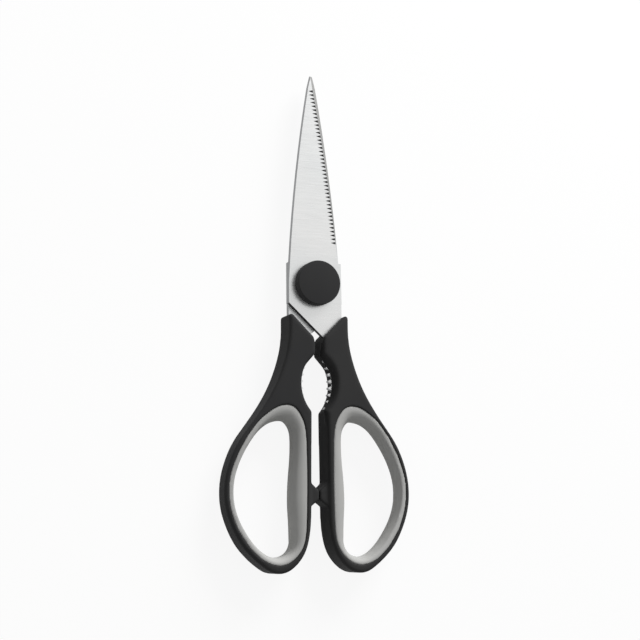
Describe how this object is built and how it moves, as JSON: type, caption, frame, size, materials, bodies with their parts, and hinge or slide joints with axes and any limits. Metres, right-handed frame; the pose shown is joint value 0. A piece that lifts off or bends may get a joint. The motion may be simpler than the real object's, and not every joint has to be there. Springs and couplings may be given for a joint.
{
  "type": "kitchen shears",
  "caption": "Kitchen shears with a micro-serrated blade, toothed gripping jaw between the handles, soft-lined finger loops and a capped pivot.",
  "frame": {"origin": "on the pivot axis, at the flat back of the pivot screw's head, on the surface that the shears lie on", "axes": "+Y towards the blade tips, +X towards the right-hand handle seen from the front, +Z out of the front"},
  "size_m": [0.0808, 0.2101, 0.0143],
  "materials": {
    "blade_steel": "satin ground stainless steel",
    "handle_plastic": "fine matte black",
    "grip_rubber": "smooth soft grey",
    "pivot_steel": "turned steel",
    "washer_plastic": "natural white",
    "cap_plastic": "satin black"
  },
  "bodies": {
    "rear_half": {"rear_blade": "blade_steel", "left_handle": "handle_plastic", "left_grip": "grip_rubber", "pivot_screw": "pivot_steel", "thrust_washer": "washer_plastic", "spring_washer": "pivot_steel", "pivot_nut": "pivot_steel", "pivot_cap": "cap_plastic"},
    "front_half": {"front_blade": "blade_steel", "right_handle": "handle_plastic", "right_grip": "grip_rubber"}
  },
  "joints": [
    {"name": "blade_pivot", "type": "hinge", "parent": "rear_half", "child": "front_half", "pos_m": [0, 0, 0.0065], "axis": [0, 0, 1], "range_deg": [0, 90]}
  ]
}
